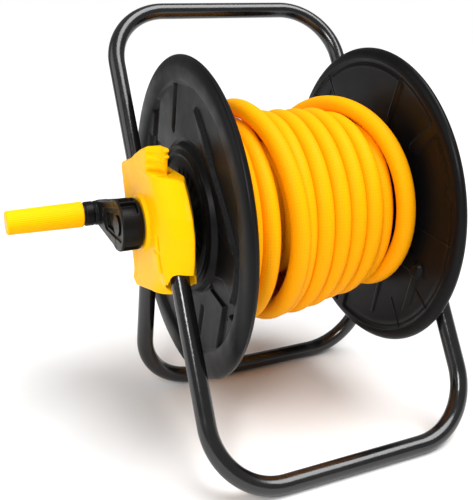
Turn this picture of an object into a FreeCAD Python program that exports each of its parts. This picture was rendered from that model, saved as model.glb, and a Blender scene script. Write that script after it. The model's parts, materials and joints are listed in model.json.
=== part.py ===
import FreeCAD, Part
import math
import os

import Sketcher

# A garden hose reel: a hand-cranked drum of hose on a stand of three bent tubes.
# The row frame is in millimetres with Z up. The stand rests on Z = 0, the drum turns about a line
# along X that passes over Y = 0, and the crank is on the -X side. Stations along the drum's line
# are measured from the drum's middle, which lies reel_middle to the right of the origin.

V = FreeCAD.Vector
UP = V(0, 0, 1)
ALONG = V(1, 0, 0)
TO_RIGHT = FreeCAD.Rotation(V(0, 1, 0), 90)
# How far a cutting tool reaches past the face that it opens.
CLEAR = 1

# ---------------------------------------------------------------- driving dimensions
SIZES = {
    # the drum
    "reel_middle": 38,
    "axle_height": 199,
    "flange_radius": 145,
    "flange_inner_face": 91,
    "rim_width": 11,
    "rim_inner_radius": 125,
    "rim_outer_step": 129,
    "rim_face": 0,
    "web_low": 2.5,
    "web_high": 5.5,
    "hub_disc_radius": 66,
    "hub_disc_low": 8,
    "step_radius": 70,
    "shaft_seat_radius": 14.1,
    "hub_inner_radius": 62,
    "spigot_radius": 42.4,
    "spigot_inner_radius": 39,
    "spigot_depth": 7,
    "barrel_radius": 45.5,
    "barrel_bore": 42.5,
    "slot_start": 78,
    "slot_end": 116,
    "slot_half_width": 2.5,
    "slot_count": 8,
    "window_length": 24,
    "window_width": 56,
    "window_height": 32,
    "window_front": -13,
    "window_low": 22,
    "barrel_screw_inset": 10,
    "shaft_screw_circle": 26,
    # the stand's tubes
    "tube_radius": 8,
    "tube_wall": 1.2,
    "tube_station": 125,
    "bend_radius": 58,
    "handle_bar_y": 142,
    "handle_bar_z": 376.6,
    "handle_axle_y": 36.4,
    "handle_end_z": 194,
    "front_bar_y": -142,
    "front_bar_z": 8,
    "front_axle_y": -38.7,
    "front_end_z": 207,
    "rear_bar_y": 60.2,
    "rear_bar_z": 8,
    "rear_axle_y": 17.2,
    "rear_end_z": 163,
    # the side brackets, as points of their outline from the axle: _y towards the rear, _z up
    "rear_top_y": 70,
    "rear_top_z": 38,
    "rear_mid_y": 62,
    "rear_mid_z": 6,
    "rear_low_y": 40,
    "rear_low_z": -64,
    "base_y": 6,
    "base_z": -60,
    "tip_y": -40,
    "tip_z": -50,
    "arch_y": -58,
    "arch_z": -49,
    "front_low_y": -74,
    "front_low_z": -33,
    "front_mid_y": -79,
    "front_mid_z": 4,
    "shelf_front_y": -54,
    "shelf_front_z": 50,
    "shelf_rear_y": -31,
    "shelf_rear_z": 47,
    "dome_front_y": -30,
    "dome_front_z": 67,
    "dome_top_y": -8,
    "dome_top_z": 70,
    "dome_rear_y": 24,
    "dome_rear_z": 56,
    "lobe_y": 52,
    "lobe_z": 52,
    "shell_depth": 14,
    "corner_radius": 4,
    "edge_radius": 5,
    "boss_radius": 25,
    "boss_height": 3,
    "holder_radius": 10,
    "holder_y": -17,
    "holder_height": 40,
    # bearings, shafts and the water inlet
    "journal_radius": 14,
    "running_gap": 0.05,
    "bush_wall": 4,
    "bush_lip": 2.5,
    "bush_lip_radius": 21,
    "tube_screw_inset": 14,
    "tube_screw_bite": 2,
    "shell_screw_inset": 4,
    "shaft_plate_radius": 32,
    "shaft_plate_depth": 4,
    "drive_square": 13,
    "drive_depth": 13,
    "journal_end_gap": 0.5,
    "journal_wall": 6,
    "water_bore": 9,
    "inlet_tube_radius": 8.6,
    "inlet_tube_length": 36,
    "inlet_bore": 5.5,
    "inlet_plate_radius": 24,
    "inlet_plate_depth": 8,
    "inlet_screw_circle": 20.2,
    "inlet_screw_bite": 8,
    "nipple_radius": 8,
    "nipple_length": 20,
    "nipple_stem": 13,
    "nipple_groove_radius": 6.6,
    "nipple_groove_width": 3,
    "seal_radius": 0.95,
    "seal_first": 6,
    "seal_second": 14,
    "seal_groove_radius": 7,
    "seal_groove_width": 2.2,
    "elbow_radius": 6.5,
    "elbow_bore": 4.5,
    "elbow_bend": 12,
    "elbow_station": 74,
    "elbow_height": 40,
    "elbow_reach": 14,
    "barb_flange_radius": 8.5,
    "barb_flange_depth": 3,
    "barb_radius": 6.2,
    "barb_length": 24,
    "barb_bore": 4.5,
    "clamp_radius": 10.3,
    "clamp_width": 9,
    "clamp_inset": 6,
    # the crank
    "crank_gap": 1.2,
    "crank_hub_radius": 23,
    "crank_hub_depth": 19,
    "crank_arm_depth": 12,
    "crank_reach": 70,
    "crank_drop": -7,
    "crank_end_radius": 12,
    "arm_top_root_y": 5.8,
    "arm_top_root_z": 22.2,
    "arm_top_end_y": 73,
    "arm_top_end_z": 4.6,
    "arm_low_end_y": 70.7,
    "arm_low_end_z": -19,
    "arm_low_root_y": 1.3,
    "arm_low_root_z": -23,
    "arm_pocket_depth": 3,
    "pocket_root_y": 27,
    "pocket_root_top_z": 11,
    "pocket_top_y": 48,
    "pocket_top_z": 5,
    "pocket_tip_y": 57,
    "pocket_tip_z": -5,
    "pocket_low_y": 48,
    "pocket_low_z": -14,
    "pocket_root_low_z": -16,
    "crank_cap_radius": 9,
    "crank_cap_depth": 2,
    "crank_recess": 5,
    "crank_screw_radius": 2.5,
    "crank_screw_head_radius": 5,
    "crank_screw_head_depth": 2.6,
    "crank_screw_bite": 12,
    "crank_shaft_room": 0.5,
    "neck_radius": 11.6,
    "neck_depth": 12,
    "washer_depth": 1.4,
    "washer_inset": 1,
    "grip_pin_radius": 4,
    "grip_pin_wall": 2,
    "grip_pin_head_radius": 6.8,
    "grip_pin_head_depth": 3,
    "grip_pin_head_gap": 0.5,
    "grip_gap": 0.3,
    "grip_length": 70,
    "grip_root_radius": 12.2,
    "grip_tip_radius": 11.1,
    "grip_recess": 8,
    "grip_recess_radius": 7.5,
    "grip_cap_depth": 2.5,
    # fasteners
    "screw_radius": 2,
    "screw_head_radius": 4,
    "screw_head_depth": 2.4,
    # the hose
    "hose_radius": 8.5,
    "coil_half_width": 88,
    "coil_radius": 91,
    "coil_drop": 0,
    "tail_station": 34,
    "nut_radius": 11.5,
    "nut_length": 20,
    "connector_radius": 9,
    "connector_length": 48,
    "connector_lip_radius": 10.6,
    "connector_lip": 3,
    "connector_bore": 6.5,
    "connector_bore_depth": 20,
    "collar_start": 24,
    "collar_length": 17,
    "collar_radius": 13,
    "collar_gap": 0.3,
}

doc = FreeCAD.newDocument("hose_reel")
sheet = doc.addObject("Spreadsheet::Sheet", "sizes")
for row, (alias, amount) in enumerate(SIZES.items(), start=1):
    sheet.set(f"A{row}", alias)
    sheet.set(f"B{row}", str(amount))
    sheet.setAlias(f"B{row}", alias)
doc.recompute()


def size(word):
    """The number in a cell."""
    return float(getattr(sheet, word))


MIDDLE = size("reel_middle")
AXLE = size("axle_height")
TUBE_STATION = size("tube_station")
SHELL_OUTER = TUBE_STATION + size("shell_depth")
SHELL_INNER = TUBE_STATION - size("shell_depth")
BOSS_FACE = SHELL_OUTER + size("boss_height")
HUB_FACE = size("flange_inner_face") + size("rim_width")
sub_parts = []


# ---------------------------------------------------------------- small helpers
def keep(piece, label):
    """Makes an object a sub-part that is written to a file of this name."""
    piece.Label = label
    sub_parts.append(piece)
    return piece


def rod(name, radius, start, end, y=0.0, z=0.0):
    """A cylinder along X between two stations, y and z away from the axle. radius is a formula."""
    piece = doc.addObject("Part::Cylinder", name)
    piece.setExpression("Radius", radius)
    piece.Height = abs(end - start)
    piece.Placement = FreeCAD.Placement(V(MIDDLE + min(start, end), y, AXLE + z), TO_RIGHT)
    return piece


def taper(name, radius_1, radius_2, start, end, y=0.0, z=0.0):
    """A cone along X from one station to a higher one."""
    piece = doc.addObject("Part::Cone", name)
    piece.setExpression("Radius1", radius_1)
    piece.setExpression("Radius2", radius_2)
    piece.Height = end - start
    piece.Placement = FreeCAD.Placement(V(MIDDLE + start, y, AXLE + z), TO_RIGHT)
    return piece


def fused(name, pieces):
    piece = doc.addObject("Part::MultiFuse", name)
    piece.Shapes = pieces
    return piece


def cut(name, base, tool):
    piece = doc.addObject("Part::Cut", name)
    piece.Base = base
    piece.Tool = tool
    return piece


def group(name, pieces):
    piece = doc.addObject("Part::Compound", name)
    piece.Links = pieces
    return piece


def new_body(name, x=0.0, turn=None):
    """A PartDesign body whose origin is on the axle at a station."""
    body = doc.addObject("PartDesign::Body", name)
    turn = turn or FreeCAD.Rotation()
    body.Placement = FreeCAD.Placement(V(MIDDLE + x, 0, AXLE), turn)
    return body


def new_sketch(body, name, plane, offset=0.0):
    """A sketch on one of the body's own origin planes, moved along its normal."""
    sketch = body.newObject("Sketcher::SketchObject", name)
    support = [f for f in body.Origin.OriginFeatures if f.Role == plane][0]
    sketch.AttachmentSupport = [(support, "")]
    sketch.MapMode = "FlatFace"
    sketch.AttachmentOffset = FreeCAD.Placement(V(0, 0, offset), FreeCAD.Rotation())
    return sketch


def cell(word):
    """The number and the formula of a coordinate named by a cell, with an optional minus."""
    if word.startswith("-"):
        return -size(word[1:]), "-sizes." + word[1:]
    return size(word), "sizes." + word


def outline(sketch, corners):
    """A closed outline of straight sides whose corners are bound to cells."""
    spots = [V(cell(u)[0], cell(v)[0], 0) for u, v in corners]
    count = len(spots)
    for i in range(count):
        sketch.addGeometry(Part.LineSegment(spots[i], spots[(i + 1) % count]), False)
    for i in range(count):
        sketch.addConstraint(Sketcher.Constraint("Coincident", i, 2, (i + 1) % count, 1))
    for i, corner in enumerate(corners):
        for kind, word in zip(("DistanceX", "DistanceY"), corner):
            number, formula = cell(word)
            k = sketch.addConstraint(Sketcher.Constraint(kind, -1, 1, i, 1, number))
            sketch.setExpression(f"Constraints[{k}]", formula)


def circle(sketch, radius, u=0.0, v=0.0):
    """A circle whose radius is bound to a formula."""
    k = sketch.addGeometry(Part.Circle(V(u, v, 0), UP, 1), False)
    sketch.addConstraint(Sketcher.Constraint("DistanceX", -1, 1, k, 3, u))
    sketch.addConstraint(Sketcher.Constraint("DistanceY", -1, 1, k, 3, v))
    c = sketch.addConstraint(Sketcher.Constraint("Radius", k, 1))
    sketch.setExpression(f"Constraints[{c}]", radius)


def pad(body, sketch, name, length, backwards=False):
    feature = body.newObject("PartDesign::Pad", name)
    feature.Profile = sketch
    feature.setExpression("Length", length)
    feature.Reversed = backwards
    return feature


def pocket(body, sketch, name, length, backwards=False):
    feature = body.newObject("PartDesign::Pocket", name)
    feature.Profile = sketch
    feature.setExpression("Length", length)
    feature.Reversed = backwards
    return feature


def edges_along(shape, way):
    """The names of a shape's straight edges that run along a direction."""
    names = []
    for number, edge in enumerate(shape.Edges, start=1):
        if edge.Curve.TypeId == "Part::GeomLine":
            run = (edge.Vertexes[-1].Point - edge.Vertexes[0].Point).normalize()
            if abs(run.dot(way)) > 0.999:
                names.append(f"Edge{number}")
    return names


def screws(name, spots, start, end, side):
    """A group of screws along X. Each has its head at end, and side says which way that is."""
    made = []
    head = end - side * size("screw_head_depth")
    for number, (y, z) in enumerate(spots):
        shank = rod(f"{name}_shank_{number}", "sizes.screw_radius", start, head, y, z)
        cap = rod(f"{name}_head_{number}", "sizes.screw_head_radius", head, end, y, z)
        made.append(fused(f"{name}_{number}", [shank, cap]))
    return made


def on_circle(radius, count, first_angle):
    """Points spread round the axle, as y and z."""
    angles = [math.radians(first_angle + 360 * i / count) for i in range(count)]
    return [(radius * math.cos(a), radius * math.sin(a)) for a in angles]


# ---------------------------------------------------------------- the stand's three tubes
class Leg:
    """The line that the two legs of a bent tube follow, seen along X."""

    def __init__(self, name):
        self.name = name
        self.bar = V(0, size(name + "_bar_y"), size(name + "_bar_z"))
        self.slope = (self.bar.y - size(name + "_axle_y")) / (self.bar.z - AXLE)
        end_z = size(name + "_end_z")
        self.end = V(0, size(name + "_axle_y") + self.slope * (end_z - AXLE), end_z)
        self.length = (self.bar - self.end).Length
        self.way = (self.bar - self.end).normalize()
        self.turn = FreeCAD.Rotation(ALONG, math.degrees(math.atan2(-self.way.y, self.way.z)))

    def place(self, x):
        return FreeCAD.Placement(V(MIDDLE + x, self.end.y, self.end.z), self.turn)


LEGS = [Leg("handle"), Leg("front"), Leg("rear")]


def bent_path(name, length, half_width, bend):
    """The middle line of a U of tube, in its own plane: up one leg, across and down the other."""
    small = bend * (1 - math.sqrt(0.5))
    shoulder = length - bend
    a, b = V(-half_width, 0, 0), V(-half_width, 0, shoulder)
    c, d = V(-half_width + small, 0, length - small), V(-half_width + bend, 0, length)
    e, f = V(half_width - bend, 0, length), V(half_width - small, 0, length - small)
    g, last = V(half_width, 0, shoulder), V(half_width, 0, 0)
    edges = [
        Part.LineSegment(a, b).toShape(),
        Part.Arc(b, c, d).toShape(),
        Part.LineSegment(d, e).toShape(),
        Part.Arc(e, f, g).toShape(),
        Part.LineSegment(g, last).toShape(),
    ]
    path = doc.addObject("Part::Feature", name)
    path.Shape = Part.Wire(edges)
    return path


def swept(name, path, radius, start, turn=None):
    """A round bar along a path. Its first section stands at start and faces up unless turned."""
    ring = doc.addObject("Part::Circle", name + "_section")
    ring.setExpression("Radius", radius)
    ring.Placement = FreeCAD.Placement(start, turn or FreeCAD.Rotation())
    bar = doc.addObject("Part::Sweep", name)
    bar.Sections = [ring]
    bar.Spine = (path, [f"Edge{i + 1}" for i in range(len(path.Shape.Edges))])
    bar.Solid = True
    bar.Frenet = False
    return bar


def bent_tube(leg, label):
    path = bent_path(leg.name + "_path", leg.length, TUBE_STATION, size("bend_radius"))
    start = V(-TUBE_STATION, 0, 0)
    outer = swept(leg.name + "_outer", path, "sizes.tube_radius", start)
    inner = swept(leg.name + "_inner", path, "sizes.tube_radius - sizes.tube_wall", start)
    tube = cut(leg.name + "_tube", outer, inner)
    tube.Placement = leg.place(0)
    return keep(tube, label)


for leg, label in zip(LEGS, ("handle_tube", "front_foot_tube", "rear_foot_tube")):
    bent_tube(leg, label)

# ---------------------------------------------------------------- the side brackets
BRACKET_OUTLINE = [
    (name + "_y", name + "_z")
    for name in (
        "rear_top",
        "rear_mid",
        "rear_low",
        "base",
        "tip",
        "arch",
        "front_low",
        "front_mid",
        "shelf_front",
        "shelf_rear",
        "dome_front",
        "dome_top",
        "dome_rear",
        "lobe",
    )
]


def leg_sockets(name, side):
    """The three round channels that a bracket's shells leave for the tubes."""
    made = []
    for leg in LEGS:
        channel = doc.addObject("Part::Cylinder", f"{name}_{leg.name}")
        channel.setExpression("Radius", "sizes.tube_radius")
        channel.Height = leg.length
        channel.Placement = leg.place(side * TUBE_STATION)
        made.append(channel)
    return made


def bracket_shell(label, side, outer):
    """One half of a side bracket, split at the tubes' middle plane."""
    body = new_body(label + "_body", side * TUBE_STATION)
    backwards = outer == (side < 0)
    sketch = new_sketch(body, label + "_sketch", "YZ_Plane")
    outline(sketch, BRACKET_OUTLINE)
    plate = pad(body, sketch, label + "_pad", "sizes.shell_depth", backwards)
    doc.recompute()
    corners = body.newObject("PartDesign::Fillet", label + "_corners")
    corners.Base = (plate, edges_along(plate.Shape, ALONG))
    corners.setExpression("Radius", "sizes.corner_radius")
    doc.recompute()
    if outer:
        round_outer_edge(body, corners, label, side)
        ring = new_sketch(body, label + "_ring", "YZ_Plane", side * size("shell_depth"))
        circle(ring, "sizes.boss_radius")
        pad(body, ring, label + "_boss", "sizes.boss_height", side < 0)
    tools = leg_sockets(label, side)
    reach = SHELL_OUTER if outer else TUBE_STATION
    bore = "sizes.journal_radius + sizes.running_gap + sizes.bush_wall"
    bore_end = side * (reach + size("boss_height") + CLEAR)
    tools.append(rod(label + "_bore", bore, side * (SHELL_INNER - CLEAR), bore_end))
    if outer:
        tools.append(holder_recess(label, side))
    piece = cut(label, body, fused(label + "_tools", tools))
    return keep(piece, label)


def round_outer_edge(body, base, label, side):
    """Rounds the edge of a shell's outer face."""
    face = side * size("shell_depth")
    names = []
    for number, edge in enumerate(base.Shape.Edges, start=1):
        ends = [v.Point.x for v in edge.Vertexes]
        if all(abs(x - face) < 0.01 for x in ends):
            names.append(f"Edge{number}")
    rounding = body.newObject("PartDesign::Fillet", label + "_edge")
    rounding.Base = (base, names)
    rounding.setExpression("Radius", "sizes.edge_radius")


def holder_recess(label, side):
    """The upright half-round recess over the shelf, which holds the hose's nozzle."""
    recess = doc.addObject("Part::Cylinder", label + "_holder")
    recess.setExpression("Radius", "sizes.holder_radius")
    recess.setExpression("Height", "sizes.holder_height")
    spot = V(MIDDLE + side * SHELL_OUTER, size("holder_y"), AXLE + size("shelf_rear_z"))
    recess.Placement = FreeCAD.Placement(spot, FreeCAD.Rotation())
    return recess


def bearing_bush(word, side):
    """The lipped bush in a bracket's bore, in which one end of the drum's shaft turns."""
    name = word + "_bearing_bush"
    outer = "sizes.journal_radius + sizes.running_gap + sizes.bush_wall"
    sleeve = rod(name + "_sleeve", outer, side * SHELL_INNER, side * BOSS_FACE)
    lip_end = side * (SHELL_INNER - size("bush_lip"))
    lip = rod(name + "_lip", "sizes.bush_lip_radius", lip_end, side * SHELL_INNER)
    inner = "sizes.journal_radius + sizes.running_gap"
    bore_start = lip_end - side * CLEAR
    bore = rod(name + "_inside", inner, bore_start, side * (BOSS_FACE + CLEAR))
    keep(cut(name, fused(name + "_whole", [sleeve, lip]), bore), name)


def tube_screw_spots():
    """One screw for each tube, a little above or below its end in the bracket."""
    made = []
    for leg in LEGS:
        spot = leg.end + leg.way * size("tube_screw_inset")
        made.append((spot.y, spot.z - AXLE))
    return made


# Screws that hold a bracket's shells together, as points from the axle.
BRACKET_SCREW_SPOTS = [(58, 14), (12, -48), (-66, 4), (-40, 38)]

for side, word in ((-1, "left"), (1, "right")):
    outer_shell = bracket_shell(word + "_bracket_outer", side, True)
    inner_shell = bracket_shell(word + "_bracket_inner", side, False)

    bearing_bush(word, side)
    name = word + "_bracket_screws"
    start = side * (SHELL_OUTER - size("shell_screw_inset"))
    end = side * (SHELL_INNER - CLEAR)
    keep(group(name, screws(name, BRACKET_SCREW_SPOTS, start, end, -side)), name)
    name = word + "_tube_screws"
    start = side * (TUBE_STATION + size("tube_screw_bite"))
    keep(group(name, screws(name, tube_screw_spots(), start, end, -side)), name)

# The flange's section, as distance out from its inner face and distance from the axle.
FLANGE_SECTION = [
    ("hub_disc_low", "shaft_seat_radius"),
    ("rim_width", "shaft_seat_radius"),
    ("rim_width", "hub_disc_radius"),
    ("web_high", "step_radius"),
    ("web_high", "rim_inner_radius"),
    ("rim_width", "rim_outer_step"),
    ("rim_width", "flange_radius"),
    ("rim_face", "flange_radius"),
    ("rim_face", "rim_outer_step"),
    ("web_low", "rim_inner_radius"),
    ("web_low", "step_radius"),
    ("hub_disc_low", "hub_inner_radius"),
    ("hub_disc_low", "spigot_radius"),
    ("-spigot_depth", "spigot_radius"),
    ("-spigot_depth", "spigot_inner_radius"),
    ("hub_disc_low", "spigot_inner_radius"),
]
SLOT_OUTLINE = [
    ("-slot_half_width", "slot_start"),
    ("slot_half_width", "slot_start"),
    ("slot_half_width", "slot_end"),
    ("-slot_half_width", "slot_end"),
]

# ---------------------------------------------------------------- the drum's two flanges
def flange(label, side):
    """A moulded disc: flat hub, thin web with radial slots, and a thick rounded rim."""
    turn = FreeCAD.Rotation(UP, 0 if side > 0 else 180)
    body = new_body(label, side * size("flange_inner_face"), turn)
    section = new_sketch(body, label + "_section", "XZ_Plane")
    outline(section, FLANGE_SECTION)
    disc = body.newObject("PartDesign::Revolution", label + "_disc")
    disc.Profile = section
    disc.ReferenceAxis = (section, ["H_Axis"])
    doc.recompute()
    rim = body.newObject("PartDesign::Fillet", label + "_rim")
    radius = size("flange_radius")
    names = []
    for number, edge in enumerate(disc.Shape.Edges, start=1):
        if edge.Curve.TypeId == "Part::GeomCircle" and abs(edge.Curve.Radius - radius) < 0.01:
            names.append(f"Edge{number}")
    rim.Base = (disc, names)
    rim.setExpression("Radius", "sizes.rim_width * 0.48")
    doc.recompute()
    slot = new_sketch(body, label + "_slot_sketch", "YZ_Plane")
    outline(slot, SLOT_OUTLINE)
    opening = pocket(body, slot, label + "_slot", "sizes.rim_width", True)
    doc.recompute()
    spread = body.newObject("PartDesign::PolarPattern", label + "_slots")
    spread.Originals = [opening]
    axis = [f for f in body.Origin.OriginFeatures if f.Role == "X_Axis"][0]
    spread.Axis = (axis, [""])
    spread.Angle = 360
    spread.setExpression("Occurrences", "sizes.slot_count")
    body.Tip = spread
    return keep(body, label)


for side, word in ((-1, "left"), (1, "right")):
    flange(word + "_flange", side)

# ---------------------------------------------------------------- the barrel and its screws
BARREL_END = size("flange_inner_face") + size("hub_disc_low")
PLATE_FACE = BARREL_END - size("shaft_plate_depth")

window = doc.addObject("Part::Box", "barrel_window")
window.setExpression("Length", "sizes.window_length")
window.setExpression("Width", "sizes.window_width")
window.setExpression("Height", "sizes.window_height")
window_start = MIDDLE + size("elbow_station") - size("window_length") / 2
window.Placement.Base = V(window_start, size("window_front"), AXLE + size("window_low"))
barrel_outer = rod("barrel_outer", "sizes.barrel_radius", -BARREL_END, BARREL_END)
barrel_inner = rod("barrel_inner", "sizes.barrel_bore", -BARREL_END, BARREL_END)
keep(cut("barrel", barrel_outer, fused("barrel_openings", [barrel_inner, window])), "barrel")


def barrel_screws():
    """Short screws through the barrel into each flange's spigot, flush with the barrel."""
    made = []
    length = size("barrel_radius") - size("spigot_inner_radius")
    for side in (-1, 1):
        for number in range(4):
            turn = FreeCAD.Rotation(ALONG, 45 + 90 * number)
            screw = doc.addObject("Part::Cylinder", f"barrel_screw_{side + 1}_{number}")
            screw.setExpression("Radius", "sizes.screw_radius")
            screw.Height = length
            foot = turn.multVec(V(0, 0, size("spigot_inner_radius")))
            station = MIDDLE + side * (BARREL_END - size("barrel_screw_inset"))
            screw.Placement = FreeCAD.Placement(V(station, foot.y, AXLE + foot.z), turn)
            made.append(screw)
    return made


keep(group("barrel_screws", barrel_screws()), "barrel_screws")
for side, word in ((-1, "left"), (1, "right")):
    name = word + "_shaft_screws"
    spots = on_circle(size("shaft_screw_circle"), 4, 45)
    start = side * (PLATE_FACE + size("journal_end_gap"))
    end = side * (HUB_FACE + size("screw_head_depth"))
    keep(group(name, screws(name, spots, start, end, side)), name)

# ---------------------------------------------------------------- the crank's drive shaft
shaft_plate = rod("shaft_plate", "sizes.shaft_plate_radius", -BARREL_END, -PLATE_FACE)
shaft_end = -BOSS_FACE - size("journal_end_gap")
shaft_journal = rod("shaft_journal", "sizes.journal_radius", shaft_end, -PLATE_FACE)
shaft_square = doc.addObject("Part::Box", "shaft_square")
shaft_square.setExpression("Length", "sizes.drive_depth")
shaft_square.setExpression("Width", "sizes.drive_square")
shaft_square.setExpression("Height", "sizes.drive_square")
half_square = size("drive_square") / 2
square_start = -BOSS_FACE - size("drive_depth")
shaft_square.Placement.Base = V(MIDDLE + square_start, -half_square, AXLE - half_square)
shaft_whole = fused("shaft_whole", [shaft_plate, shaft_journal, shaft_square])
CRANK_FACE = BOSS_FACE + size("crank_gap") + size("crank_hub_depth")
SCREW_SEAT = CRANK_FACE - size("crank_recess")
screw_depth = SCREW_SEAT - size("crank_screw_bite")
shaft_thread = rod("shaft_thread", "sizes.crank_screw_radius", -SCREW_SEAT, -screw_depth)
keep(cut("crank_shaft", shaft_whole, shaft_thread), "crank_shaft")

# ---------------------------------------------------------------- the water path
journal_end = BOSS_FACE - size("journal_end_gap")
journal_step = PLATE_FACE + size("journal_wall")
inlet_plate = rod("journal_plate", "sizes.shaft_plate_radius", PLATE_FACE, BARREL_END)
inlet_journal = rod("journal_outside", "sizes.journal_radius", PLATE_FACE, journal_end)
journal_bore = rod("journal_bore", "sizes.water_bore", journal_step, journal_end)
journal_inner = rod("journal_inner", "sizes.elbow_radius", PLATE_FACE, journal_step)
journal_whole = fused("journal_whole", [inlet_plate, inlet_journal])
journal_hollow = fused("journal_hollow", [journal_bore, journal_inner])
keep(cut("water_journal", journal_whole, journal_hollow), "water_journal")


def elbow_path():
    """From the journal along the axle, up, and out towards the rear under the barrel's skin."""
    x, top, bend = size("elbow_station"), size("elbow_height"), size("elbow_bend")
    small = bend * (1 - math.sqrt(0.5))
    a, b = V(journal_step, 0, 0), V(x + bend, 0, 0)
    c, d = V(x + small, 0, small), V(x, 0, bend)
    e, f = V(x, 0, top - bend), V(x, small, top - small)
    g, last = V(x, bend, top), V(x, size("elbow_reach"), top)
    edges = [
        Part.LineSegment(a, b).toShape(),
        Part.Arc(b, c, d).toShape(),
        Part.LineSegment(d, e).toShape(),
        Part.Arc(e, f, g).toShape(),
        Part.LineSegment(g, last).toShape(),
    ]
    path = doc.addObject("Part::Feature", "elbow_path")
    path.Shape = Part.Wire(edges)
    return path


ACROSS = FreeCAD.Rotation(UP, V(-1, 0, 0))
elbow_line = elbow_path()
elbow_start = V(journal_step, 0, 0)
elbow_skin = swept("elbow_skin", elbow_line, "sizes.elbow_radius", elbow_start, ACROSS)
elbow_core = swept("elbow_core", elbow_line, "sizes.elbow_bore", elbow_start, ACROSS)
elbow = cut("water_elbow", elbow_skin, elbow_core)
elbow.Placement.Base = V(MIDDLE, 0, AXLE)
keep(elbow, "water_elbow")


def rearward(name, radius, start, end):
    """A cylinder towards the rear on the line of the elbow's outlet."""
    piece = doc.addObject("Part::Cylinder", name)
    piece.setExpression("Radius", radius)
    piece.Height = end - start
    spot = V(MIDDLE + size("elbow_station"), start, AXLE + size("elbow_height"))
    piece.Placement = FreeCAD.Placement(spot, FreeCAD.Rotation(ALONG, -90))
    return piece


barb_start = size("elbow_reach")
hose_start = barb_start + size("barb_flange_depth")
barb_end = hose_start + size("barb_length")
barb_flange = rearward("barb_flange", "sizes.barb_flange_radius", barb_start, hose_start)
barb_stem = rearward("barb_stem", "sizes.barb_radius", hose_start, barb_end)
barb_hole = rearward("barb_hole", "sizes.barb_bore", barb_start, barb_end)
keep(cut("hose_barb", fused("barb_whole", [barb_flange, barb_stem]), barb_hole), "hose_barb")
clamp_start = hose_start + size("clamp_inset")
clamp_end = clamp_start + size("clamp_width")
clamp_band = rearward("clamp_band", "sizes.clamp_radius", clamp_start, clamp_end)
clamp_hole = rearward("clamp_hole", "sizes.hose_radius", clamp_start, clamp_end)
keep(cut("hose_clamp", clamp_band, clamp_hole), "hose_clamp")

# ---------------------------------------------------------------- the fixed water inlet
plate_end = BOSS_FACE + size("inlet_plate_depth")
nipple_end = plate_end + size("nipple_length")
tube_start = BOSS_FACE - size("inlet_tube_length")
groove_start = plate_end + size("nipple_stem")
groove_end = groove_start + size("nipple_groove_width")
inlet_solids = [
    rod("inlet_tube", "sizes.inlet_tube_radius", tube_start, BOSS_FACE),
    rod("inlet_plate", "sizes.inlet_plate_radius", BOSS_FACE, plate_end),
    rod("inlet_stem", "sizes.nipple_radius", plate_end, groove_start),
    rod("inlet_waist", "sizes.nipple_groove_radius", groove_start, groove_end),
    rod("inlet_nose", "sizes.nipple_radius", groove_end, nipple_end),
]
SEAL_STATIONS = (tube_start + size("seal_first"), tube_start + size("seal_second"))
inlet_cuts = [rod("inlet_inside", "sizes.inlet_bore", tube_start, nipple_end)]


def ring_groove(name, station):
    """The ring that a seal's groove takes from the inlet tube."""
    half = size("seal_groove_width") / 2
    outside = rod(name + "_out", "sizes.journal_radius", station - half, station + half)
    core = rod(name + "_core", "sizes.seal_groove_radius", station - half, station + half)
    return cut(name, outside, core)


def seal(name, station):
    """A rubber ring in its groove."""
    ring = doc.addObject("Part::Torus", name)
    ring.setExpression("Radius1", "sizes.seal_groove_radius + sizes.seal_radius")
    ring.setExpression("Radius2", "sizes.seal_radius")
    turn = FreeCAD.Rotation(V(0, 1, 0), 90)
    ring.Placement = FreeCAD.Placement(V(MIDDLE + station, 0, AXLE), turn)
    return ring


inlet_cuts += [ring_groove(f"seal_groove_{i}", at) for i, at in enumerate(SEAL_STATIONS)]
inlet_whole = fused("inlet_whole", inlet_solids)
keep(cut("water_inlet", inlet_whole, fused("inlet_cuts", inlet_cuts)), "water_inlet")
seals = [seal(f"seal_{i}", at) for i, at in enumerate(SEAL_STATIONS)]
keep(group("inlet_seals", seals), "inlet_seals")
inlet_screw_end = plate_end + size("screw_head_depth")
inlet_screw_start = BOSS_FACE - size("inlet_screw_bite")
inlet_spots = on_circle(size("inlet_screw_circle"), 3, 90)
inlet_screws = screws("inlet_screw", inlet_spots, inlet_screw_start, inlet_screw_end, 1)
keep(group("inlet_screws", inlet_screws), "inlet_screws")

# ---------------------------------------------------------------- the crank
reach, drop = size("crank_reach"), size("crank_drop")
ARM_BACK = CRANK_FACE - size("crank_arm_depth")
NECK_END = CRANK_FACE + size("neck_depth")
GRIP_ROOT = NECK_END + size("washer_depth") + size("grip_gap")
GRIP_TIP = GRIP_ROOT + size("grip_length")
arm_body = new_body("crank_web", -CRANK_FACE)
arm_sketch = new_sketch(arm_body, "crank_web_sketch", "YZ_Plane")
outline(arm_sketch, [
    ("arm_top_root_y", "arm_top_root_z"),
    ("arm_top_end_y", "arm_top_end_z"),
    ("arm_low_end_y", "arm_low_end_z"),
    ("arm_low_root_y", "arm_low_root_z"),
])
pad(arm_body, arm_sketch, "crank_web_pad", "sizes.crank_arm_depth")
pocket_body = new_body("crank_pocket", -CRANK_FACE)
pocket_sketch = new_sketch(pocket_body, "crank_pocket_sketch", "YZ_Plane")
outline(pocket_sketch, [
    ("pocket_root_y", "pocket_root_top_z"),
    ("pocket_top_y", "pocket_top_z"),
    ("pocket_tip_y", "pocket_tip_z"),
    ("pocket_low_y", "pocket_low_z"),
    ("pocket_root_y", "pocket_root_low_z"),
])
pad(pocket_body, pocket_sketch, "crank_pocket_pad", "sizes.arm_pocket_depth")
crank_hub_end = -BOSS_FACE - size("crank_gap")
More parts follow.
